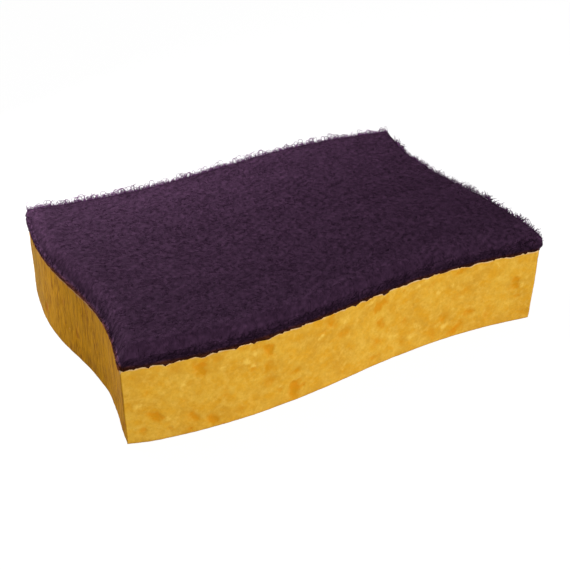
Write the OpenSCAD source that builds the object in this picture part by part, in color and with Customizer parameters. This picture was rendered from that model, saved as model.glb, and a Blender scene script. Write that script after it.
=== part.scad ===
// Two-layer cleaning sponge: a cellulose block with a scouring pad bonded to its top.
// It is die-cut from one wide two-layer sheet. The two long sides follow the same wave,
// and so do the two ends, so that neighbouring sponges nest with no waste between them.
// The origin is at the middle of the outline's box, on the surface that it lies on.
// X runs along the length, Y from the front side to the back one, Z up.

/* [Slab] */
// Length of the sponge, between the chords of its two ends
slab_l = 140; // [100:1:180]
// Width of the sponge, between the chords of its two long sides
slab_w = 90; // [60:1:110]
// Thickness of the cellulose block
block_t = 25.5; // [15:0.5:40]
// Thickness of the scouring pad
pad_t = 6.5; // [4:0.5:12]

/* [Outline] */
// Swing of the wave in the two long sides, to each side of the chord
side_swing = 3.4; // [0:0.1:6]
// Swing of the wave in the two ends, to each side of the chord
end_swing = 2.5; // [0:0.1:6]
// How far the front side bows outwards at its middle
front_belly = 0.7; // [0:0.1:3]
// How far the back side bows outwards at its middle
back_belly = 0.2; // [0:0.1:3]
// How far the left end is drawn in at its middle
left_waist = 1.4; // [0:0.1:4]
// How far the right end is drawn in at its middle
right_waist = 2.5; // [0:0.1:4]

/* [Pores] */
// Depth of a pore that the cut has opened
pore_depth = 1.4; // [0.6:0.1:3]
// Material left between a pore and the edges of the face that it opens in
pore_margin = 0.8; // [0.4:0.1:2]
// Smallest width of the pores scattered over the faces that stay out of sight
pore_min = 1.8; // [1:0.1:3]
// Largest width of such a pore
pore_max = 4.2; // [3:0.1:6]
// Number of pores in the back face
back_pores = 22; // [0:1:30]
// Number of pores in each end
end_pores = 9; // [0:1:15]
// Number of pores in the underside
base_pores = 44; // [0:1:60]

/* [Pad surface] */
// Width of the frayed, rounded rim of the pad
rim_w = 3.6; // [2:0.1:6]
// Height that the rim loses at the cut edge
rim_drop = 2.8; // [0.5:0.1:3.2]
// How far the cut edge has frayed back at the top of the rim, at most
rim_fray = 0.5; // [0:0.1:1]
// Unevenness of the matted top, up and down
nap_height = 0.3; // [0:0.05:0.6]

/* [Hidden] */

// Colours of the two layers
cellulose_colour = [0.86, 0.66, 0.22];
pad_colour = [0.25, 0.17, 0.25];

// Even steps between the rims, along the length and across the width
steps_l = 38;
steps_w = 24;
// Facets round each bubble that makes a pore
bubble_fn = 6;

// The pores that show in the front face: share of the way along it, share of the
// way up it, width and height
front_pores = [
    [0.03, 0.12, 2, 3], [0.06, 0.3, 3.5, 3], [0.14, 0.17, 2.5, 3],
    [0.16, 0.9, 2.5, 3.5], [0.18, 0.01, 4, 2.5], [0.19, 0.96, 2, 2],
    [0.24, 0.06, 2, 2.5], [0.3, 0.87, 2.5, 1.5], [0.3, 0.6, 3, 2.5],
    [0.3, 0.4, 2.5, 2.5], [0.36, 0.05, 4, 5], [0.37, 0.42, 2, 2],
    [0.46, 0.95, 3, 3], [0.48, 0.67, 2.5, 2.5], [0.58, 0.05, 3.5, 2],
    [0.59, 0.6, 2.5, 2.5], [0.59, 0.9, 3.5, 2], [0.65, 0.15, 2.5, 2.5],
    [0.66, 0.46, 2.5, 2.5], [0.73, 0.02, 2.5, 2.5], [0.77, 0.3, 3, 3],
    [0.8, 0.97, 3, 3], [0.82, 0.05, 3, 3], [0.96, 0.62, 3.5, 3.5],
    [0.97, 0.33, 3, 3]
];

// The outline: u is the share of the way from the left end to the right one, and v
// the share of the way from the front side to the back one
function bow(s) = 4 * s * (1 - s);
function side_wave(u) = -side_swing * sin(360 * u);
function end_wave(v) = end_swing * sin(360 * v);
function front_y(u) = -slab_w / 2 + side_wave(u) - front_belly * bow(u);
function back_y(u) = slab_w / 2 + side_wave(u) + back_belly * bow(u);
function left_x(v) = -slab_l / 2 + end_wave(v) + left_waist * bow(v);
function right_x(v) = slab_l / 2 + end_wave(v) - right_waist * bow(v);
// A point of the slab, spread evenly between its four sides
function spread(u, v) = [
    (1 - u) * left_x(v) + u * right_x(v),
    (1 - v) * front_y(u) + v * back_y(u)
];

// Grid lines over the slab, as shares: close together in the rims, even between them
function grid_lines(size, steps) = [
    for (e = concat(
        [0, rim_w / 4, rim_w / 2],
        [for (i = [0 : steps]) rim_w + (size - 2 * rim_w) * i / steps],
        [size - rim_w / 2, size - rim_w / 4, size])) e / size
];
lines_u = grid_lines(slab_l, steps_l);
lines_v = grid_lines(slab_w, steps_w);
last_i = len(lines_u) - 1;
last_j = len(lines_v) - 1;

// The crossings of the grid that lie on the outline, anticlockwise from the front left
rim = concat(
    [for (i = [0 : last_i - 1]) [i, 0]],
    [for (j = [0 : last_j - 1]) [last_i, j]],
    [for (i = [last_i : -1 : 1]) [i, last_j]],
    [for (j = [last_j : -1 : 1]) [0, j]]);
raw_outline = [for (c = rim) spread(lines_u[c[0]], lines_v[c[1]])];
raw_x = [for (p = raw_outline) p[0]];
raw_y = [for (p = raw_outline) p[1]];
middle = [min(raw_x) + max(raw_x), min(raw_y) + max(raw_y)] / 2;
// The same, counted from the middle of the outline's box
function place(u, v) = spread(u, v) - middle;
outline = [for (p = raw_outline) p - middle];

// A pore that the cut has opened: two bubbles run together, one lower than the other.
// Its mouth is w wide along X and h high along Z, and it is sunk along Y
module pore(w, h) {
    bubble = [w * 0.7, pore_depth * 2, h * 0.7];
    hull()
        for (end = [-1, 1])
            translate([end * w * 0.15, 0, -end * h * 0.15])
                scale(bubble) sphere(d = 1, $fn = bubble_fn);
}

// Share of the way across a face at which a pore's middle lies, when the pore has to
// stay inside the margins of that face
function inset_share(s, size, w) =
    let (edge = (pore_margin + w / 2) / size) edge + (1 - 2 * edge) * s;

// A pore in the front side (v is 0) or the back one (v is 1)
module side_pore(v, s, up, w, h) {
    at = place(inset_share(s, slab_l, w), v);
    translate([at[0], at[1], block_t * inset_share(up, block_t, h)]) pore(w, h);
}

// A pore in the left end (u is 0) or the right one (u is 1)
module end_pore(u, s, up, w, h) {
    at = place(u, inset_share(s, slab_w, w));
    translate([at[0], at[1], block_t * inset_share(up, block_t, h)])
        rotate([0, 0, 90]) pore(w, h);
}

// A pore in the underside, clear of those that open in the sides
module base_pore(s, t, w, h) {
    at = place(inset_share(s, slab_l, w + 2 * pore_depth),
               inset_share(t, slab_w, h + 2 * pore_depth));
    translate([at[0], at[1], 0]) rotate([90, 0, 0]) pore(w, h);
}

// Pores scattered at random, each draw giving a place and a mouth
module scattered_pores(seed, count) {
    draw = rands(0, 1, 4 * max(1, count), seed);
    for (k = [0 : 1 : count - 1]) {
        $along = draw[4 * k];
        $up = draw[4 * k + 1];
        $wide = pore_min + (pore_max - pore_min) * draw[4 * k + 2];
        $high = pore_min + (pore_max - pore_min) * draw[4 * k + 3];
        children();
    }
}

// The cellulose block: a plate of sponge with the wavy outline, its pores cut open
module sponge_block() {
    color(cellulose_colour)
    difference() {
        linear_extrude(block_t) polygon(outline);
        for (p = front_pores) side_pore(0, p[0], p[1], p[2], p[3]);
        scattered_pores(21, back_pores) side_pore(1, $along, $up, $wide, $high);
        scattered_pores(22, end_pores) end_pore(0, $along, $up, $wide, $high);
        scattered_pores(23, end_pores) end_pore(1, $along, $up, $wide, $high);
        scattered_pores(24, base_pores) base_pore($along, $up, $wide, $high);
    }
}

// Height that the pad's top gains or loses at each crossing of the grid, and how far
// its rim has frayed back there
nap_seed = 11;
fray_seed = 12;
nap = rands(-nap_height, nap_height, (last_i + 1) * (last_j + 1), nap_seed);
fray = rands(0, rim_fray, (last_i + 1) * (last_j + 1), fray_seed);
function crossing(i, j) = i * (last_j + 1) + j;
// Height that the rim loses at a distance e from the nearest cut edge
function rim_loss(e) = rim_drop * pow(1 - min(1, e / rim_w), 2);
function edge_distance(u, v) =
    min(u * slab_l, (1 - u) * slab_l, v * slab_w, (1 - v) * slab_w);
// 1 on the first line of a row, -1 on the last and 0 between them
function inwards(i, last) = i == 0 ? 1 : i == last ? -1 : 0;
function pad_top(i, j) =
    let (u = lines_u[i], v = lines_v[j], back = fray[crossing(i, j)],
         at = place(u + inwards(i, last_i) * back / slab_l,
                    v + inwards(j, last_j) * back / slab_w))
    [at[0], at[1], block_t + pad_t + nap[crossing(i, j)] - rim_loss(edge_distance(u, v))];

// The scouring pad: a mat of coarse fibres with the block's outline, bonded to the
// block face to face, with an uneven top and a frayed rim
module scouring_pad() {
    n = (last_i + 1) * (last_j + 1);
    underside = [for (u = lines_u, v = lines_v)
        let (at = place(u, v)) [at[0], at[1], block_t]];
    top = [for (i = [0 : last_i], j = [0 : last_j]) pad_top(i, j)];
    top_faces = [for (i = [0 : last_i - 1], j = [0 : last_j - 1], half = [0, 1])
        half == 0
            ? [n + crossing(i, j), n + crossing(i, j + 1), n + crossing(i + 1, j + 1)]
            : [n + crossing(i, j), n + crossing(i + 1, j + 1), n + crossing(i + 1, j)]];
    bond_faces = [for (f = top_faces) [f[0] - n, f[2] - n, f[1] - n]];
    walls = [for (k = [0 : len(rim) - 1])
        let (a = rim[k], b = rim[(k + 1) % len(rim)], low_a = crossing(a[0], a[1]),
             low_b = crossing(b[0], b[1]))
        [low_a, low_a + n, low_b + n, low_b]];
    color(pad_colour)
    polyhedron(concat(underside, top), concat(bond_faces, walls, top_faces));
}

sponge_block();
scouring_pad();
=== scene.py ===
import math

import bpy
import numpy as np
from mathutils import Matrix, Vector


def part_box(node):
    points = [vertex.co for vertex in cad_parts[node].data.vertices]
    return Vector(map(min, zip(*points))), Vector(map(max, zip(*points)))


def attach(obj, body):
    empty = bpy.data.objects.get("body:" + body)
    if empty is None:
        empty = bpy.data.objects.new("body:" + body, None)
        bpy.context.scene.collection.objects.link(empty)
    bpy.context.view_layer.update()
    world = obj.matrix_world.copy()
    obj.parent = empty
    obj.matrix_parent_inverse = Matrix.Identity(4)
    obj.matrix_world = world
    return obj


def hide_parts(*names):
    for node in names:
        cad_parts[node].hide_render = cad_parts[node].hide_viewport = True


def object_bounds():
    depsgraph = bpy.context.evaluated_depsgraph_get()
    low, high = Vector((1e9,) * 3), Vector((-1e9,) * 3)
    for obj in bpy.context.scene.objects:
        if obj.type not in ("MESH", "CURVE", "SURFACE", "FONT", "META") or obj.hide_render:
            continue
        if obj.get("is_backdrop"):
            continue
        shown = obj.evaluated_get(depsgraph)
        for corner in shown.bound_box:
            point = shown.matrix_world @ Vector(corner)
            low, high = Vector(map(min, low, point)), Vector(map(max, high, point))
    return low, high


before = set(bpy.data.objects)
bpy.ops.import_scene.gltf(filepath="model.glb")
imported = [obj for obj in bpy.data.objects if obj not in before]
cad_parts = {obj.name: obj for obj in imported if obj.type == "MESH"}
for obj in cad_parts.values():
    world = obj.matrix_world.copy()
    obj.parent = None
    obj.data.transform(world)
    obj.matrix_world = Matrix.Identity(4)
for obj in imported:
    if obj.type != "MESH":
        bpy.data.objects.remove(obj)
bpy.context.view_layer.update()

bpy.ops.object.select_all(action="DESELECT")

# The cellulose block. The real one is a plate of golden-yellow viscose sponge, foamed
# and set in a wide sheet, then die-cut with the pad already bonded to it. The die
# leaves smooth faces in which the larger bubbles lie cut open.
mm = 0.001
slab_l = 140 * mm
slab_w = 90 * mm
side_swing = 3.4 * mm
end_swing = 2.5 * mm
front_belly = 0.7 * mm
back_belly = 0.2 * mm
left_waist = 1.4 * mm
right_waist = 2.5 * mm
block_low, block_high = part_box("sponge_block")
block_t = block_high.z - block_low.z


def spread(u, v):
    """A point of the sheet at shares u of the length and v of the width."""
    side_wave = -side_swing * np.sin(2 * np.pi * u)
    end_wave = end_swing * np.sin(2 * np.pi * v)
    bow_u, bow_v = 4 * u * (1 - u), 4 * v * (1 - v)
    left = -slab_l / 2 + end_wave + left_waist * bow_v
    right = slab_l / 2 + end_wave - right_waist * bow_v
    front = -slab_w / 2 + side_wave - front_belly * bow_u
    back = slab_w / 2 + side_wave + back_belly * bow_u
    return (1 - u) * left + u * right, (1 - v) * front + v * back


# The outline's four sides, walked in fine steps, give the middle of its box
edge = np.linspace(0, 1, 721)
side_rows = [spread(edge, 0 * edge), spread(edge, 0 * edge + 1), spread(0 * edge, edge),
             spread(0 * edge + 1, edge)]
side_x, side_y = np.concatenate(side_rows, axis=1)
middle_x = (side_x.min() + side_x.max()) / 2
middle_y = (side_y.min() + side_y.max()) / 2


def place(u, v):
    """The same point, counted from the middle of the outline's box."""
    x, y = spread(u, v)
    return x - middle_x, y - middle_y


def read_back(thing, what):
    """The places or the normals of a mesh's vertices, one row each."""
    rows = np.empty(len(thing.data.vertices) * 3)
    thing.data.vertices.foreach_get(what, rows)
    return rows.reshape(-1, 3)


def move_vertices(thing, spot):
    """Puts each vertex of a mesh at its row of the given places."""
    thing.data.vertices.foreach_set("co", spot.ravel())
    thing.data.update()


def sheet_mesh(name, columns, rows, wall_rows, bottom, top, bonded_side):
    """A plate cut from the sheet: a grid of shares raised to a slab and bent to the outline.

    Its bonded side, 1 for the top and -1 for the bottom, is left as a single face.
    """
    bpy.ops.mesh.primitive_grid_add(x_subdivisions=columns, y_subdivisions=rows, size=1)
    plate = bpy.context.object
    plate.name = name
    bpy.ops.object.mode_set(mode="EDIT")
    bpy.ops.mesh.select_all(action="SELECT")
    bpy.ops.transform.translate(value=(0.5, 0.5, 0))
    bpy.ops.mesh.extrude_region_move(TRANSFORM_OT_translate={"value": (0, 0, 1)})
    bpy.ops.mesh.select_all(action="SELECT")
    bpy.ops.mesh.normals_make_consistent(inside=False)
    bpy.ops.mesh.select_all(action="DESELECT")
    bpy.ops.mesh.select_mode(type="EDGE")
    bpy.ops.object.mode_set(mode="OBJECT")
    height = np.array([v.co.z for v in plate.data.vertices])
    ends = np.array([e.vertices[:] for e in plate.data.edges])
    upright = np.abs(height[ends[:, 0]] - height[ends[:, 1]]) > 0.5
    plate.data.edges.foreach_set("select", upright)
    bpy.ops.object.mode_set(mode="EDIT")
    bpy.ops.mesh.subdivide(number_cuts=wall_rows - 1)
    bpy.ops.mesh.select_all(action="DESELECT")
    bpy.ops.mesh.select_mode(type="FACE")
    bpy.ops.object.mode_set(mode="OBJECT")
    bonded = np.array([f.normal.z * bonded_side > 0.5 for f in plate.data.polygons])
    plate.data.polygons.foreach_set("select", bonded)
    bpy.ops.object.mode_set(mode="EDIT")
    bpy.ops.mesh.dissolve_faces()
    bpy.ops.object.mode_set(mode="OBJECT")
    share = read_back(plate, "co")
    x, y = place(share[:, 0], share[:, 1])
    move_vertices(plate, np.stack([x, y, bottom + (top - bottom) * share[:, 2]], axis=1))
    return plate, share


def mark(thing, name, value):
    """Keeps a number at each vertex for the material to read."""
    thing.data.attributes.new(name, "FLOAT", "POINT").data.foreach_set("value", value)


def ripples(rng, count, wavelength, stretch=(1, 1, 1)):
    """A smooth unevenness from many small waves: a function of points, about -1 to 1."""
    heading = rng.normal(size=(count, 3))
    heading /= np.linalg.norm(heading, axis=1)[:, None]
    length = wavelength * rng.uniform(0.6, 1.6, count)
    vector = heading / np.array(stretch) * (2 * np.pi / length)[:, None]
    phase = rng.uniform(0, 2 * np.pi, count)
    return lambda spot: np.sin(spot @ vector.T + phase).sum(axis=1) / math.sqrt(count / 2) / 2


block, block_share = sheet_mesh("cellulose_block", columns=230, rows=148, wall_rows=44,
                                bottom=0, top=block_t, bonded_side=1)
block_draw = np.random.default_rng(5)
spot = read_back(block, "co")
normal = read_back(block, "normal")
ragged = 1 + 0.6 * ripples(block_draw, 40, 2.2 * mm)(spot)
mouth_depth = 3 * mm


def in_mouth(middle, across, up, width, height, lean):
    """How deep in a pore's mouth each vertex lies: 1 at its middle, 0 at its lip."""
    away = spot - middle
    aside, above = away @ across, away @ up
    sunk = np.abs(away @ np.cross(across, up))
    cosine, sine = math.cos(math.radians(lean)), math.sin(math.radians(lean))
    wide = 2 * (aside * cosine + above * sine) / width
    high = 2 * (above * cosine - aside * sine) / height
    reach = wide ** 2 + high ** 2 + (sunk / mouth_depth) ** 2
    return np.clip(1.1 - reach * ragged, 0, 1)


east, north, upward = np.eye(3)
# The open pores of the front face: along it, up it, width and height in mm, lean in
# degrees, and depth as a share of the deepest
front_pores = [
    (22, 20.6, 3, 4.6, 20, 1), (42.8, 21, 2.8, 4, 35, 1), (42.4, 15.2, 3.2, 3.4, 0, 0.7),
    (42.8, 10.3, 3.6, 3.4, 20, 0.5), (8.6, 8.2, 4.2, 2.6, -35, 0.8),
    (19.3, 5.6, 2.4, 4.6, 40, 0.7), (25, 2.6, 2.6, 5, 42, 0.9),
    (51, 4.2, 3.4, 5.6, 5, 1), (51.6, 10.3, 3, 2, 10, 0.6),
    (37.6, 16, 1.8, 1.4, 0, 0.5), (64, 22.6, 3.6, 4, 30, 0.6), (27, 22.6, 2.4, 2, 20, 0.4),
    (23.6, 23.6, 3, 1.4, 0, 0.35), (34.5, 24, 2.6, 2, 0, 0.4), (38.3, 23.4, 2.4, 2, 30, 0.35),
    (14.6, 23, 3, 2.2, 0, 0.3), (5, 4, 2, 2.8, 0, 0.4), (12.4, 3, 1.6, 1.4, 0, 0.4),
    (33, 3.4, 3, 2.2, 0, 0.35), (46, 6, 2.4, 1.6, 0, 0.4), (68.5, 17, 5, 3, 20, 0.45),
    (61.3, 19.8, 4, 1.4, 25, 0.35), (29, 11, 2, 4, 0, 0.25), (82, 21, 4.6, 3, 30, 1),
    (82.4, 14.6, 3, 3.4, 20, 0.6), (92, 11.8, 3.6, 2, 0, 0.55), (81.5, 8.5, 3, 3, 30, 0.35),
    (91.3, 5, 2.2, 3, 10, 0.5), (81, 3, 4, 2, -20, 0.45), (107.6, 8.5, 3.8, 3, 25, 0.6),
    (117, 7.6, 4, 2.8, 0, 0.6), (114.4, 4, 2.8, 3, 0, 0.6), (111.4, 2, 4, 2.4, 20, 0.75),
    (133.4, 15, 2.8, 3.8, 20, 0.75), (134.8, 9.7, 3, 1.2, 0, 0.5),
    (112.5, 23.8, 4.8, 1.6, 25, 0.75), (101.8, 22, 3, 2.4, 30, 0.35),
    (113, 15.5, 9, 1.8, 26, 0.35), (103, 4, 2.6, 5, 10, 0.35), (138.2, 2.6, 2.6, 2, 0, 0.6),
    (124, 6, 1.8, 5, -15, 0.3),
]
# Pale spots of the same face: along it, up it, width and height in mm. They all
# lean by as many degrees
spot_lean = 20
pale_spots = [
    (16.5, 17.5, 2.4, 3), (5, 13, 2, 2.4), (28.4, 19.8, 2, 1.8), (31, 21.6, 3, 2),
    (35.8, 19.6, 2.8, 4), (37.6, 17.4, 2, 1.4), (38, 21, 3, 2), (46, 7, 1.8, 1),
    (69, 21, 3, 2), (60, 18.5, 3, 2), (79, 23.4, 4, 1.8), (98.5, 23.6, 5, 1.8),
    (105, 18.6, 3, 2), (110, 19.5, 2, 1.4),
    (110.4, 10.4, 2, 1.2), (107.5, 5, 3, 2), (97, 9, 3, 2.4), (95, 5.6, 4, 2), (88, 8, 3, 4),
    (136.2, 13.4, 1.8, 2.4), (127, 23, 4, 3), (12, 7, 2, 2), (62, 25, 3, 1.4), (74, 21, 3, 3),
]
# The open pores of the left end, given as those of the front are
left_pores = [(69, 6, 3, 5, 10, 0.9), (38, 21, 3, 3, 0, 0.3), (46, 9, 2, 5, 0, 0.4)]
# How many small pores are scattered over each face. Each third one is a pale spot
# instead, and off the front each fourth one is larger
scattered = {"front": 40, "back": 90, "left": 26, "right": 55, "base": 240}
# How much wider than its opening a pore of the front shows, with the painted shade around its lip
lip = 1.25
pit = np.zeros(len(spot))
pale = np.zeros(len(spot))
for along, rise, width, height, lean, depth in front_pores:
    middle = (*place(along * mm / slab_l, 0), rise * mm)
    mouth = in_mouth(middle, east, upward, width * lip * mm, height * lip * mm, lean)
    pit = np.maximum(pit, depth * mouth)
for along, rise, width, height in pale_spots:
    middle = (*place(along * mm / slab_l, 0), rise * mm)
    pale = np.maximum(pale, in_mouth(middle, east, upward, width * mm, height * mm, spot_lean))
for face, count in scattered.items():
    for n in range(count):
        s, t = block_draw.uniform(0.01, 0.99, 2)
        larger = 2 if n % 4 == 0 and face != "front" else 1
        width, height = block_draw.uniform(0.9, 2, 2) * mm * larger
        lean, depth = block_draw.uniform(-45, 45), block_draw.uniform(0.2, 0.8)
        if face in ("front", "back"):
            middle, across, up = (*place(s, face == "back"), t * block_t), east, upward
        elif face in ("left", "right"):
            middle, across, up = (*place(face == "right", s), t * block_t), north, upward
        else:
            middle, across, up = (*place(s, t), 0), east, north
        depth *= 0.5 if face in ("front", "left") else 1
        mouth = depth * in_mouth(middle, across, up, width, height, lean)
        if n % 3 == 1:
            pale = np.maximum(pale, 0.6 * mouth)
        else:
            pit = np.maximum(pit, mouth)
for along, rise, width, height, lean, depth in left_pores:
    middle = (*place(0, along * mm / slab_w), rise * mm)
    mouth = in_mouth(middle, north, upward, width * mm, height * mm, lean)
    pit = np.maximum(pit, depth * mouth)

# The die pushed the soft foam outwards at the foot of the front and the left end: how
# far, at places along each of them, in mm
front_foot = np.array([
    (0, -0.3), (6, 0.9), (10, 1.15), (24, 0.8), (45, 0.45), (62, 0.85), (80, 0.85),
    (97, 1.15), (112, 0.6), (126, 0.1), (140, 0)])
left_foot = np.array([
    (0, -0.3), (6, 0.5), (14, 0.7), (26, 0.45), (42, 0.5), (57, 1.1), (72, 0.9), (90, 0.4)])
foot = np.clip(1 - spot[:, 2] / block_t, 0, 1) ** 1.6
front_flare = np.interp(block_share[:, 0] * slab_l / mm, *front_foot.T)
end_flare = np.interp(block_share[:, 1] * slab_w / mm, *left_foot.T)
# The cut faces swell a little and are finely grained, except along their top edge. They
# lie just inside the outline, and the right end stands out past it, most at its top.
# All of it is in mm
swell = ripples(block_draw, 40, 9 * mm)(spot) * 0.10
grain = ripples(block_draw, 60, 1.8 * mm)(spot) * 0.05
pore_sink = 0.4
inset = 0.12
right_out, right_lean = 0.7, 0.5
top_edge = np.clip((block_t - spot[:, 2]) / mm, 0, 1)
under = normal[:, 2] < -0.9
on_right = np.clip((normal[:, 0] - 0.6) * 5, 0, 1)
lift = (swell + grain - pore_sink * pit) * top_edge - inset
lift += foot * np.where(normal[:, 1] < -0.6, front_flare, 0)
lift += foot * np.where(normal[:, 0] < -0.6, end_flare, 0)
lift += (right_out + right_lean * spot[:, 2] / block_t) * on_right
lift[under] = -pore_sink * pit[under]
outwards = np.where(under[:, None], normal, normal * (1, 1, 0))
move_vertices(block, spot + outwards * lift[:, None] * mm)
mark(block, "pore", pit)
mark(block, "pale", pale)
mark(block, "cut_end", (np.abs(normal[:, 0]) > 0.8).astype(float))

# The cut edge between the two layers: the sponge stands in low arches, and the pad's
# fibres hang down in the cusps between them. Place along the side and depth, in mm
front_cusps = [
    (-6, 0.5), (4, 0.3), (7.6, 0.4), (12.3, 1), (23.3, 0.9), (32.5, 0.6), (38, 0.6),
    (42.6, 0.8), (52.5, 0.4), (57, 0.5), (60.4, 0.5), (65.6, 0.4), (68.6, 0.6),
    (72.8, 0.8), (77, 0.3), (84, 1.1), (92, 0.4), (100.5, 0.7), (106, 0.3),
    (116.2, 0.8), (122, 0.3), (130.3, 0.7), (146, 0.2),
]
cusp_draw = np.random.default_rng(6)
cusps = {"front": np.array(front_cusps)}
for face in ("back", "left", "right"):
    at = np.cumsum(cusp_draw.uniform(2.5, 9, 40)) - 8
    depth = cusp_draw.uniform(0.2, 0.5 if face == "left" else 0.9, 40)
    cusps[face] = np.stack([at, depth], axis=1)


def hang(face, along):
    """How far the pad's lower edge hangs down, at a place along a side of the sponge."""
    at, depth = cusps[face].T
    before = np.clip(np.searchsorted(at, along / mm) - 1, 0, len(at) - 2)
    share = np.clip((along / mm - at[before]) / (at[before + 1] - at[before]), 0, 1)
    arch = 1 - np.abs(2 * share - 1) ** 2.5
    return (1 - arch) * np.interp(along / mm, at, depth) * mm


def bond_height(share, normal):
    """Height of the seen edge between the layers, for each vertex of a sheet's wall."""
    faces = [("front", 0, normal[:, 1] < -0.6), ("back", 0, normal[:, 1] > 0.6),
             ("left", 1, normal[:, 0] < -0.6), ("right", 1, normal[:, 0] > 0.6)]
    low = np.zeros(len(share))
    for face, axis, here in faces:
        low = np.where(here, hang(face, share[:, axis] * (slab_l, slab_w)[axis]), low)
    return block_t - low


mark(block, "edge_gap", (bond_height(block_share, normal) - spot[:, 2]) / mm)
bpy.ops.object.shade_smooth()


class Wire:
    """A shader socket. Arithmetic on it adds Math nodes, and add() makes any other node."""

    def __init__(self, tree, socket=None):
        self.tree = tree
        self.socket = socket

    def feed(self, socket, value):
        if isinstance(value, Wire):
            self.tree.links.new(value.socket, socket)
        else:
            socket.default_value = value

    def add(self, kind, settings=None, sockets=None, out=0):
        node = self.tree.nodes.new(kind)
        for key, value in (settings or {}).items():
            setattr(node, key, value)
        for key, value in (sockets or {}).items():
            self.feed(node.inputs[key], value)
        return Wire(self.tree, node.outputs[out])

    def math(self, operation, a, b):
        return self.add("ShaderNodeMath", {"operation": operation}, {0: a, 1: b})

    def __add__(self, other):
        return self.math("ADD", self, other)

    def __sub__(self, other):
        return self.math("SUBTRACT", self, other)

    def __rsub__(self, other):
        return self.math("SUBTRACT", other, self)

    def __mul__(self, other):
        return self.math("MULTIPLY", self, other)

    def clamp(self):
        return self.add("ShaderNodeClamp", {}, {0: self})

    def blend(self, a, b):
        """The colour a where this value is 0, b where it is 1, and further on beyond them."""
        return self.add("ShaderNodeMix", {"data_type": "RGBA", "clamp_factor": False},
                        {0: self, 6: a, 7: b}, 2)

    def tint(self, colour, by):
        """The colour as it is where this value is 0, and multiplied by another where it is 1."""
        return self.add("ShaderNodeMix", {"data_type": "RGBA", "blend_type": "MULTIPLY"},
                        {0: self, 6: colour, 7: by}, 2)

    def stretched(self, scale):
        return self.add("ShaderNodeMapping", {}, {"Vector": self, "Scale": scale})

    def noise(self, size, detail=2.0, roughness=0.5):
        """Noise over this vector, with features of about this size in metres."""
        return self.add("ShaderNodeTexNoise", {}, {
            "Vector": self, "Scale": 0.5 / size, "Detail": detail, "Roughness": roughness})

    def span(self, low, high):
        """This value stretched so that low becomes 0 and high becomes 1, and clamped."""
        return ((self - low) * (1 / (high - low))).clamp()


def new_material(name):
    """A new material, and the start of its wires."""
    material = bpy.data.materials.new(name)
    material.use_nodes = True
    return material, Wire(material.node_tree)


def kept(wire, name):
    """A number that a mesh keeps at its vertices."""
    return wire.add("ShaderNodeAttribute", {"attribute_name": name}, out="Fac")


def object_place(wire):
    """The place on the sponge, in metres."""
    return wire.add("ShaderNodeTexCoord", out="Object")


def along_axis(place_wire, axis):
    """One of the three coordinates of a place."""
    return place_wire.add("ShaderNodeSeparateXYZ", {}, {0: place_wire}, axis)


# The sponge's colours: its body, the flecks in it, the streaked left and right ends, the
# painted shade in the open pores, and the painted highlight along the top of each face
gold = (0.67, 0.345, 0.027, 1)
light_gold = (0.77, 0.435, 0.043, 1)
amber = (0.75, 0.355, 0.011, 1)
straw = (0.88, 0.56, 0.09, 1)
brown = (0.54, 0.25, 0.012, 1)
end_gold = (0.6, 0.275, 0.001, 1)
end_brown = (0.31, 0.12, 0, 1)
end_ochre = (0.57, 0.27, 0.002, 1)
far_end_tint = (0.66, 0.72, 1.6, 1)
# Painted shade in the open pores: darker orange, on the faces and on the ends
pore_shade_brown = (0.64, 0.275, 0.003, 1)
pore_shade_orange = (0.72, 0.275, 0.005, 1)
end_pore_shade = (0.46, 0.155, 0.004, 1)
pale_spot_colour = (0.87, 0.55, 0.085, 1)
# Colours of the painted highlight along the top edges, on the faces and on the ends
highlight_cream = (0.77, 0.55, 0.32, 1)
end_highlight_cream = (0.42, 0.23, 0.115, 1)


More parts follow.
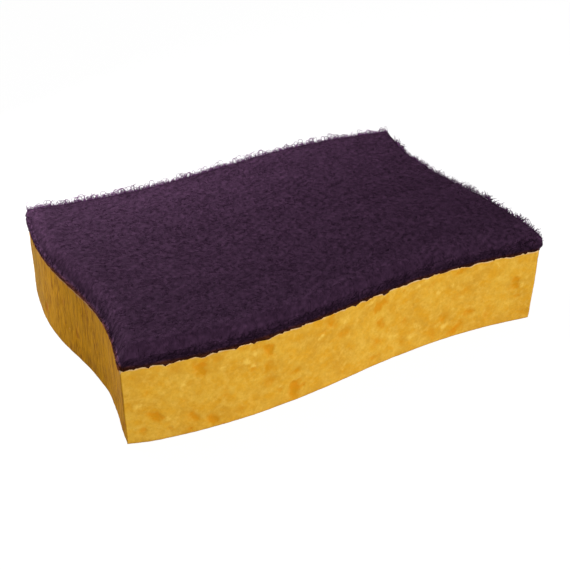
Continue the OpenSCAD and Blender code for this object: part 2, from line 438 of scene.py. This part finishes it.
def make_cellulose():
    """The sponge's material: spotted where the foam is cut, streaked at both ends, with painted
    shade in the open pores and a painted highlight along the top edges.
    """
    material, wire = new_material("cellulose_sponge")
    at = object_place(wire)
    pore, pale, cut_end, gap = (kept(wire, n) for n in ("pore", "pale", "cut_end", "edge_gap"))
    cloudy = at.noise(4 * mm, 3).span(0.38, 0.62)
    warm = at.stretched((1, 1, 1.3)).noise(2.2 * mm, 3, 0.6).span(0.42, 0.66)
    fleck = at.noise(1.1 * mm, 3, 0.6).span(0.46, 0.68)
    speck = at.noise(0.45 * mm, 2, 0.6).span(0.42, 0.66)
    body = cloudy.blend(gold, light_gold)
    body = (warm * 0.7).blend(body, amber)
    body = (fleck * 0.46).blend(body, straw)
    body = (speck * 0.26).blend(body, brown)
    streak = at.stretched((1, 1, 0.16)).noise(0.4 * mm, 3, 0.7).span(0.4, 0.6)
    wide_streak = at.stretched((1, 1, 0.2)).noise(1.4 * mm, 2, 0.5).span(0.42, 0.62)
    end_tone = streak.blend(end_gold, end_brown)
    end_tone = (wide_streak * 0.6).blend(end_tone, end_ochre)
    far = along_axis(at, "Y").span(18 * mm, 40 * mm)
    end_tone = far.tint(end_tone, far_end_tint)
    body = cut_end.blend(body, end_tone)
    # Painted shade: the open pores are coloured darker and more orange, for the shade and bounced
    # light in their hollows
    pore_shade = (pore * (at.noise(0.7 * mm, 2).span(0.35, 0.6) * 0.9 + 0.9)).clamp()
    orange = cut_end.blend(warm.blend(pore_shade_brown, pore_shade_orange), end_pore_shade)
    body = (pore_shade * 0.9).blend(body, orange)
    body = (pale * (fleck * 1.1 + 0.25)).clamp().blend(body, pale_spot_colour)
    # Painted highlight: a pale line along the top edge of each face, just under the pad's hanging
    # edge, wider on the left end and faint on the right end
    left_end = cut_end * along_axis(at, "X").span(10 * mm, -10 * mm)
    top_highlight = 1 - (gap - left_end * 0.5 + at.noise(0.8 * mm, 2) * 0.8).span(0.5, 1.1)
    top_highlight_tone = cut_end.blend(highlight_cream, end_highlight_cream)
    body = (top_highlight * (0.9 - (cut_end - left_end) * 0.75)).blend(body, top_highlight_tone)
    shader = wire.tree.nodes["Principled BSDF"]
    wire.feed(shader.inputs["Base Color"], body)
    shader.inputs["Roughness"].default_value = 0.85
    shader.inputs["Specular IOR Level"].default_value = 0.12
    relief = at.noise(0.8 * mm, 4, 0.6) * 0.6 + at.noise(0.25 * mm, 2, 0.6) * 0.3
    bump = wire.add("ShaderNodeBump", {}, {"Strength": 0.5, "Distance": 0.5 * mm, "Height": relief})
    wire.feed(shader.inputs["Normal"], bump)
    return material


block.data.materials.append(make_cellulose())
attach(block, "root")
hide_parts("sponge_block")

# The scouring pad's mat. The real one is a lofty web of coarse, crimped nylon fibres,
# resin-bonded and dyed dark purple, and laminated to the cellulose before the cut.
# Its rim frays round at the top, and at the bottom it follows the sponge's ragged edge.
pad_t = 6.5 * mm
pad_top = block_t + pad_t
pad_draw = np.random.default_rng(8)
tuft = ripples(pad_draw, 60, 3.2 * mm, (1.2, 1, 1))
felt = ripples(pad_draw, 80, 1.5 * mm)
fray = ripples(pad_draw, 60, 1.6 * mm)
tuft_height = 0.1 * mm
felt_height = 0.08 * mm
tooth_depth = 0.5 * mm
fray_out = 0.12 * mm
rim_in = 0.2 * mm
# How wide the rounded rim is on each side and what height it loses at the cut. The pad
# bulges out a little past the outline on each of them
front_side, back_side, left_side, right_side = range(4)
rim_w = np.array([3.6, 2.6, 5, 2.6]) * mm
rim_drop = np.array([2.8, 0.4, 5.2, 1.2]) * mm
proud = np.array([0.1, 0.2, 0.2, 1.8]) * mm
# How far the foot of the pad's right side reaches out, to cover the sponge below it
right_foot = 1.1 * mm
corner_r = 1.6 * mm


def side_distances(u, v):
    """How far a place lies from the front, back, left and right side of the sheet."""
    return np.stack([v * slab_w, (1 - v) * slab_w, u * slab_l, (1 - u) * slab_l], axis=-1)


def rim_loss(u, v):
    """The height that the rounded rim has lost: less to the right, and at the left back."""
    near = np.clip(side_distances(u, v) / rim_w, 0, 1)
    loss = rim_drop * (1 - near) ** 2.2
    loss[..., front_side] *= 1.2 - 0.6 * u
    loss[..., left_side] *= 1 - 0.9 * v ** 5
    return np.sqrt((loss ** 2).sum(axis=-1))


def bulge(u, v):
    """How far the pad's four sides stand out: the right one less towards the back corner."""
    out = proud * np.ones((*np.shape(u), 4))
    out[..., right_side] *= 1 - np.clip(v, 0, 1) ** 7
    return out


def rounded(u, v, radius):
    """Shares moved inwards near the four corners, where the pad's edge runs round."""
    over_u = np.maximum(np.abs(u - 0.5) * slab_l - slab_l / 2 + radius, 0)
    over_v = np.maximum(np.abs(v - 0.5) * slab_w - slab_w / 2 + radius, 0)
    pull = 1 - np.maximum(over_u, over_v) / np.maximum(np.hypot(over_u, over_v), 0.001 * mm)
    pull = np.where((over_u > 0) & (over_v > 0), pull, 0)
    return (u - np.sign(u - 0.5) * over_u * pull / slab_l,
            v - np.sign(v - 0.5) * over_v * pull / slab_w)


def mat_height(u, v):
    """Height of the mat's top, with its tufts, rounded rim, and pits deeper to the right."""
    x, y = place(u, v)
    flat = np.stack([x, y, 0 * x], axis=1)
    pits = np.clip(-felt(flat) - 0.3, 0, 1) * (0.15 + 0.3 * u) * mm
    return pad_top + tuft(flat) * tuft_height + felt(flat) * felt_height - pits - rim_loss(u, v)


mat, mat_share = sheet_mesh("scouring_mat", columns=250, rows=160, wall_rows=10,
                            bottom=block_t, top=pad_top, bonded_side=-1)
spot = read_back(mat, "co")
normal = read_back(mat, "normal")
u, v, level = mat_share.T
off_side = side_distances(u, v) < 0.01 * mm
on_rim = off_side.any(axis=1)
teeth = np.clip(fray(spot * 2.2), 0, 1) * tooth_depth
low = np.where(on_rim, bond_height(mat_share, normal) - teeth, block_t)
spot[:, 2] = low + (mat_height(u, v) - low) * level
spot[:, 0], spot[:, 1] = place(*rounded(u, v, corner_r * (0.4 + 0.6 * level)))
side_bulge = (off_side * bulge(u, v)).max(axis=1)
push = fray(spot) * fray_out + side_bulge * np.sin(np.pi * level ** 1.5)
push -= rim_in * level ** 4
spot += normal * (1, 1, 0) * np.where(on_rim, push, 0)[:, None]
spot[:, 0] += off_side[:, right_side] * right_foot * (1 - level) ** 3
move_vertices(mat, spot)
bpy.ops.object.shade_smooth()

# The pad's colours run from a dark fibre, at tone 0, to a pale one, at tone 1. Next to
# the bond the fibres are tinted brown: painted contact shade where the pad meets the sponge
fibre_dark = (0.013, 0.005, 0.013, 1)
fibre_pale = (0.125, 0.056, 0.121, 1)
bond_shade_tint = (1.6, 1.0, 0.2, 1)
mat_tone = 0.37


def cut_side_tone_and_light(spot, front, left):
    """How pale the pad's cut sides are: least low on the front, partly its own dark cut fibre
    ends and partly painted shade, and most on the left, which is painted light, brightest
    low down and towards the front.
    """
    rise = (spot[..., 2] - block_t) / mm
    near_front = np.clip((-20 * mm - spot[..., 1]) / (14 * mm), 0, 1)
    sides = np.where(left, np.clip(6.2 - 1.3 * rise, 4.5, 6.2) * (1 + 0.2 * near_front), 2)
    return np.where(front, np.clip((rise - 1.5) / 1.5, 0.65, 1), sides)


def rim_light_tone(u, v):
    """Painted light: the fibres stand a little paler along the left side, the front and the back.
    """
    from_left = np.maximum(u, 0) * slab_l / mm
    from_front = np.maximum(v, 0) * slab_w / mm
    left = 1.15 * np.clip(1.7 - from_left / 3.3, 0, 1) * np.clip(from_left / 1.7, 0, 1)
    left = left * np.clip(0.45 + 2.2 * v, 0, 1)
    front = 0.33 * np.clip(1.5 - from_front / 6, 0, 1)
    front_left = 0.45 * np.clip(1 - from_front / 7, 0, 1) * np.clip(1 - 1.5 * u, 0, 1)
    back = 0.4 * np.clip(3 * v - 1.8, 0, 1) * np.clip(2 * u, 0, 1)
    return 1 + left + front + front_left + back


def make_fibre(name, dark, pale):
    """A material for dull fibres, whose tone at each vertex lies between two colours, tinted brown
    near the bond as painted contact shade.
    """
    material, wire = new_material(name)
    at = object_place(wire)
    patch = at.noise(2.5 * mm, 3, 0.6).span(0.35, 0.65)
    colour = (kept(wire, "tone") * (patch * 0.25 + 0.85)).blend(dark, pale)
    # Painted contact shade: the fibres within about a millimetre of the bond are tinted brown,
    # reaching half a millimetre higher near the left end
    near_left = along_axis(at, "X").span(-64 * mm, -68 * mm)
    rise = along_axis(at, "Z") - block_t - near_left * (0.5 * mm)
    colour = (1 - rise.span(0.2 * mm, 1.2 * mm)).tint(colour, bond_shade_tint)
    shader = wire.tree.nodes["Principled BSDF"]
    wire.feed(shader.inputs["Base Color"], colour)
    shader.inputs["Roughness"].default_value = 0.9
    shader.inputs["Specular IOR Level"].default_value = 0.02
    hair = at.noise(0.35 * mm, 3, 0.7)
    bump = wire.add("ShaderNodeBump", {}, {"Strength": 0.8, "Distance": 0.4 * mm, "Height": hair})
    wire.feed(shader.inputs["Normal"], bump)
    return material


# The mat's tone carries the painted light along its left side, front and back
matted = np.clip(0.5 + 0.3 * felt(spot), 0.05, 1) * mat_tone * rim_light_tone(u, v)
# The cut walls carry painted light on the left side and painted shade low on the front
walls = cut_side_tone_and_light(spot, off_side[:, front_side], off_side[:, left_side])
mark(mat, "tone", matted * np.where(on_rim, walls, 1))
mat.data.materials.append(make_fibre("purple_mat", fibre_dark, fibre_pale))
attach(mat, "root")
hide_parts("scouring_pad")

# The fibres of the pad's top. The real ones are crimped nylon, about a tenth to a
# fifth of a millimetre thick, sprayed with resin where they cross, so that they lie
# matted in every direction. Three layers of them cover the mat.
fibre_material = make_fibre("purple_fibre", fibre_dark, fibre_pale)


def fibre_piece(name, paths, radius, tone, material):
    """Many crimped fibres as one mesh, each a thin square tube along a row of points."""
    web = bpy.data.curves.new(name, "CURVE")
    web.dimensions = "3D"
    web.bevel_depth = 1
    web.bevel_resolution = 0
    web.use_fill_caps = True
    count, points = paths.shape[:2]
    taper = np.ones(points)
    taper[[0, -1]] = 0.5
    for path, thick in zip(paths, radius):
        strand = web.splines.new("POLY")
        strand.points.add(points - 1)
        weighted = np.concatenate([path, np.ones((points, 1))], axis=1)
        strand.points.foreach_set("co", weighted.ravel())
        strand.points.foreach_set("radius", taper * thick)
    piece = bpy.data.objects.new(name, web)
    bpy.context.scene.collection.objects.link(piece)
    bpy.ops.object.select_all(action="DESELECT")
    piece.select_set(True)
    bpy.context.view_layer.objects.active = piece
    bpy.ops.object.convert(target="MESH")
    piece = bpy.context.object
    # The mesh has the end caps first, from the last fibre to the first, then the tubes
    tone = tone * np.ones((count, points))
    caps = tone[::-1, [-1, 0]]
    mark(piece, "tone", np.repeat(np.concatenate([caps.ravel(), tone.ravel()]), 4))
    bpy.ops.object.mode_set(mode="EDIT")
    bpy.ops.mesh.select_all(action="SELECT")
    bpy.ops.mesh.remove_doubles(threshold=0.0001 * mm)
    bpy.ops.mesh.normals_make_consistent(inside=False)
    bpy.ops.object.mode_set(mode="OBJECT")
    bpy.ops.object.shade_smooth()
    piece.data.materials.append(material)
    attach(piece, "root")


def wander(rng, count, points, step, turn):
    """Crimped paths in a plane, each from its own middle, with headings that drift."""
    bend = rng.normal(0, turn, (count, 1)) + rng.normal(0, turn, (count, points))
    angle = rng.uniform(0, 2 * np.pi, (count, 1)) + np.cumsum(bend, axis=1)
    run = np.cumsum(step * np.cos(angle), axis=1)
    cross = np.cumsum(step * np.sin(angle), axis=1)
    return run - run.mean(1)[:, None], cross - cross.mean(1)[:, None]


def matted_share(rng, drift, size):
    """Shares of the length or the width for fibres that drift from a random start."""
    start = rng.uniform(0, 1, (len(drift), 1))
    return np.clip(start + drift / size, -overhang / size, 1 + overhang / size)


overhang = 0.25 * mm
sunk_end = 0.04 * mm
highest_arch = 0.22
count, points = 3700, 6
for layer in range(3):
    rng = np.random.default_rng(30 + layer)
    run, cross = wander(rng, count, points, 0.65 * mm, 1.0)
    u = matted_share(rng, run, slab_l)
    v = matted_share(rng, cross, slab_w)
    x, y = place(*rounded(u, v, corner_r))
    arch = np.sin(np.linspace(0, np.pi, points))
    rise = rng.uniform(0, highest_arch, (count, 1)) * (0.4 + 0.6 * u) * mm * arch - sunk_end
    z = mat_height(u.ravel(), v.ravel()).reshape(u.shape) + rise
    spread_of_tone = rng.uniform(-0.15, 0.15, (count, 1)) * (0.3 + u)
    # Painted light raises the fibres' tone along the left side, the front and the back
    tone = (0.232 + 0.035 * u ** 2 + spread_of_tone) * rim_light_tone(u, v)
    fibre_piece(f"pad_fibres_{layer + 1}", np.stack([x, y, z], axis=2),
                rng.uniform(0.05, 0.085, count) * mm, tone, fibre_material)

# The fibres of the pad's cut sides. They are the same nylon, bent along the cut by the
# die, and lie on the mat's four walls from the bond up to the rounded rim.
ways_out = np.array([(0, -1), (0, 1), (-1, 0), (1, 0)])


def side_share(side, s, back):
    """Shares u and v of a point a little way back from a side, at share s along it."""
    u = np.where(side == left_side, back / slab_l, s)
    u = np.where(side == right_side, 1 - back / slab_l, u)
    v = np.where(side == front_side, back / slab_w, s)
    v = np.where(side == back_side, 1 - back / slab_w, v)
    return u, v


def side_place(side, u, v, radius):
    """Where that point lies, how far its side bulges, and the way out from the slab."""
    x, y = place(*rounded(u, v, radius))
    out = np.take_along_axis(bulge(u, v), side[..., None], axis=-1)[..., 0]
    way = ways_out[side]
    return x, y, out, way[..., 0], way[..., 1]


rng = np.random.default_rng(40)
count, points = 2500, 6
side_odds = [0.31, 0.31, 0.19, 0.19]
side_tone = np.array([0.75, 1, 0.7, 1])
side = rng.choice(4, count, p=side_odds)[:, None] * np.ones((1, points), int)
run, climb = wander(rng, count, points, 0.8 * mm, 0.35)
length = np.where(side < left_side, slab_l, slab_w)
s = np.clip(rng.uniform(0, 1, (count, 1)) + run / length, 0.002, 0.998)
u, v = side_share(side, s, 0)
height = pad_t - rim_loss(u, v)
level = np.clip(rng.uniform(0, 1, (count, 1)) * height + climb * 0.6, 0.15 * mm, height)
share = level / height
x, y, side_bulge, way_x, way_y = side_place(side, u, v, corner_r * (0.4 + 0.6 * share))
out = rng.uniform(0.05, 0.3, (count, 1)) * mm * np.sin(np.linspace(0, np.pi, points))
out += 0.05 * mm + side_bulge * np.sin(np.pi * share ** 1.5) - rim_in * share ** 4
out += (side == right_side) * right_foot * (1 - share) ** 3
path = np.stack([x + way_x * out, y + way_y * out, block_t + level], axis=2)
# The rim fibres carry the same painted light on the left side and painted shade low on the front
wall_tone = 0.05 + 0.45 * cut_side_tone_and_light(path, side == front_side, side == left_side)
tone = rng.uniform(0.2, 1, (count, 1)) ** 1.5 * wall_tone
tone *= side_tone[side]
fibre_piece("rim_fibres", path, rng.uniform(0.06, 0.1, count) * mm, tone, fibre_material)

# The loops and stubs that stand up from the rim. Along the back edge loose fibres curl
# out of the mat, and on the back, the right and part of the left side short cut ends
# stand where the die went through them. Light shines through them, so they look paler.
fuzz_dark = (0.045, 0.014, 0.047, 1)
fuzz_pale = (0.3, 0.13, 0.31, 1)
fuzz_material = make_fibre("purple_fuzz", fuzz_dark, fuzz_pale)
root_depth = 0.1 * mm


def on_shoulder(rng, side, s, deepest, lowest):
    """Roots of standing fibres on the pad's rounded rim: x, y, height and the way out."""
    side = side * np.ones(s.shape, int)
    back = rng.uniform(0, 1, (len(s), 1)) ** 1.5 * deepest
    u, v = side_share(side, np.clip(s, 0.002, 0.998), back)
    x, y, side_bulge, way_x, way_y = side_place(side, u, v, corner_r)
    lower = rng.uniform(0, 1, (len(s), 1)) * lowest
    out = side_bulge * np.sin(np.pi * (1 - lower) ** 1.5)
    root = pad_top - rim_loss(u, v) - lower * pad_t - root_depth
    return x + way_x * out, y + way_y * out, root, way_x, way_y


def stubs(name, rng, side, s, length, thick, lean, lowest, tone):
    """Short cut ends of fibres that stand on one side's shoulder, at shares s along it.

    Their length and thickness are in mm. A lean of 1 points straight outwards, and a
    lowest of 1 lets them stand right down to the bond.
    """
    column = (len(s), 1)
    reach = np.linspace(0, 1, 3) * rng.uniform(*length, column) * mm
    drift = rng.normal(0, 0.5, column) * reach + rng.normal(0, 0.3, column) * reach ** 2 / mm
    tilt = rng.uniform(*lean, column)
    along = s[:, None] + drift / (slab_l if side < left_side else slab_w)
    x, y, root, way_x, way_y = on_shoulder(rng, side, along, 1.5 * mm, lowest)
    path = np.stack([x + way_x * reach * tilt, y + way_y * reach * tilt,
                     root + reach * np.sqrt(1 - tilt ** 2)], axis=2)
    radius = rng.uniform(*thick, len(s)) * mm
    fibre_piece(name, path, radius, rng.uniform(*tone, column), fuzz_material)


rng = np.random.default_rng(41)
count, points = 300, 10
turn = np.linspace(0, 1, points) * rng.uniform(3.2, 6, (count, 1))
curl = rng.uniform(0.45, 1.45, (count, 1)) * mm
along = (np.sin(turn) * rng.uniform(0.7, 1.3, (count, 1)) + 0.25 * turn) * curl
along = along * rng.choice([-1, 1], (count, 1))
stand = (1 - np.cos(turn)) * curl * rng.uniform(0.6, 1, (count, 1))
lean = rng.uniform(-0.2, 0.7, (count, 1))
s = rng.uniform(0, 1, (count, 1)) + along / slab_l
x, y, root, way_x, way_y = on_shoulder(rng, back_side, s, 1.2 * mm, 0.1)
path = np.stack([x + way_x * stand * lean, y + way_y * stand * lean,
                 root + stand * np.sqrt(1 - lean ** 2)], axis=2)
radius = rng.uniform(0.07, 0.11, count) * mm
fibre_piece("rim_curls", path, radius, rng.uniform(0.3, 1, (count, 1)), fuzz_material)

rng = np.random.default_rng(42)
stubs("back_stubs", rng, back_side, rng.uniform(0, 1, 2400), length=(0.4, 1.5),
      thick=(0.05, 0.09), lean=(-0.1, 0.8), lowest=0.1, tone=(0.1, 0.8))
stubs("right_stubs", rng, right_side, rng.uniform(0, 0.9, 1600), length=(0.3, 1.5),
      thick=(0.07, 0.12), lean=(0.1, 0.95), lowest=0.6, tone=(0, 0.4))
stubs("left_stubs", rng, left_side, rng.uniform(0.84, 1, 160), length=(0.3, 0.9),
      thick=(0.05, 0.09), lean=(0.4, 0.95), lowest=0.7, tone=(0.1, 0.6))
clumps = rng.choice(rng.uniform(0.03, 0.9, 24), 240) + rng.normal(0, 0.006, 240)
stubs("right_clumps", rng, right_side, clumps, length=(1, 2.5),
      thick=(0.07, 0.12), lean=(0.1, 0.6), lowest=0.3, tone=(0, 0.3))

# The surface that the sponge lies on: a wide, plain pale sheet. It fades into white,
# and keeps only a little of the sponge's shadow.
floor_size = 6
floor_gap = 0.05 * mm
floor_grey = (0.7, 0.7, 0.7, 1)
pure_white = (1, 1, 1, 1)
white_strength = 1.14
white_share = 0.82
bpy.ops.mesh.primitive_plane_add(size=floor_size, location=(0, 0, -floor_gap))
ground = bpy.context.object
ground.name = "studio_floor"


def background_rays(wire):
    """1 for what the camera sees directly, in a reflection or through something."""
    rays = ("Is Camera Ray", "Is Glossy Ray", "Is Transmission Ray")
    camera, glossy, through = (wire.add("ShaderNodeLightPath", out=ray) for ray in rays)
    return (camera + glossy + through).clamp()


material, wire = new_material("white_floor")
lit = wire.add("ShaderNodeBsdfDiffuse", {}, {"Color": floor_grey})
white = wire.add("ShaderNodeEmission", {}, {"Color": pure_white, "Strength": white_strength})
shown = background_rays(wire) * white_share
surface = wire.add("ShaderNodeMixShader", {}, {0: shown, 1: lit, 2: white})
wire.feed(wire.tree.nodes["Material Output"].inputs["Surface"], surface)
ground.data.materials.append(material)
ground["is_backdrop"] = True

# Studio light: a pale surround, a broad lamp low at the front right, and a small one
# close over the back left corner, from which the pad grows darker to the front right.
world = bpy.data.worlds.new("studio")
bpy.context.scene.world = world
world.use_nodes = True
sky = Wire(world.node_tree)
background = world.node_tree.nodes["Background"]
surround = 0.36
sky.feed(background.inputs["Strength"], background_rays(sky) * (1 - surround) + surround)
background.inputs["Color"].default_value = pure_white


def add_lamp(name, spot, target, size, watts):
    """A square soft lamp that faces a target."""
    lamp = bpy.data.lights.new(name, "AREA")
    lamp.energy = watts
    lamp.size = size
    holder = bpy.data.objects.new(name, lamp)
    holder.location = spot
    holder.rotation_euler = (Vector(target) - Vector(spot)).to_track_quat("-Z", "Y").to_euler()
    bpy.context.scene.collection.objects.link(holder)


add_lamp("front_lamp", spot=(0.35, -0.8, 0.36), target=(0, 0, 0), size=0.35, watts=5.2)
add_lamp("back_lamp", spot=(-0.058, 0.106, 0.116), target=(0, 0, 0.03), size=0.15, watts=0.445)

# The camera, at the photograph's angle and framing: it stands at the front left of the
# sponge and looks down across the pad.
pitch = math.radians(32.08)
turn = math.radians(27.13)
distance = 342.8 * mm
aim = Vector((0.94, -3.9, 9.63)) * mm
camera = bpy.data.cameras.new("camera")
camera.sensor_width = 36
camera.lens = 65.6
camera.clip_start = 10 * mm
view = bpy.data.objects.new("camera", camera)
bpy.context.scene.collection.objects.link(view)
level_reach = math.cos(pitch)
ahead = Vector((math.sin(turn) * level_reach, math.cos(turn) * level_reach, -math.sin(pitch)))
view.location = aim - ahead * distance
view.rotation_euler = ahead.to_track_quat("-Z", "Y").to_euler()
bpy.context.scene.camera = view
bpy.context.scene.view_settings.view_transform = "Standard"

low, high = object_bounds()
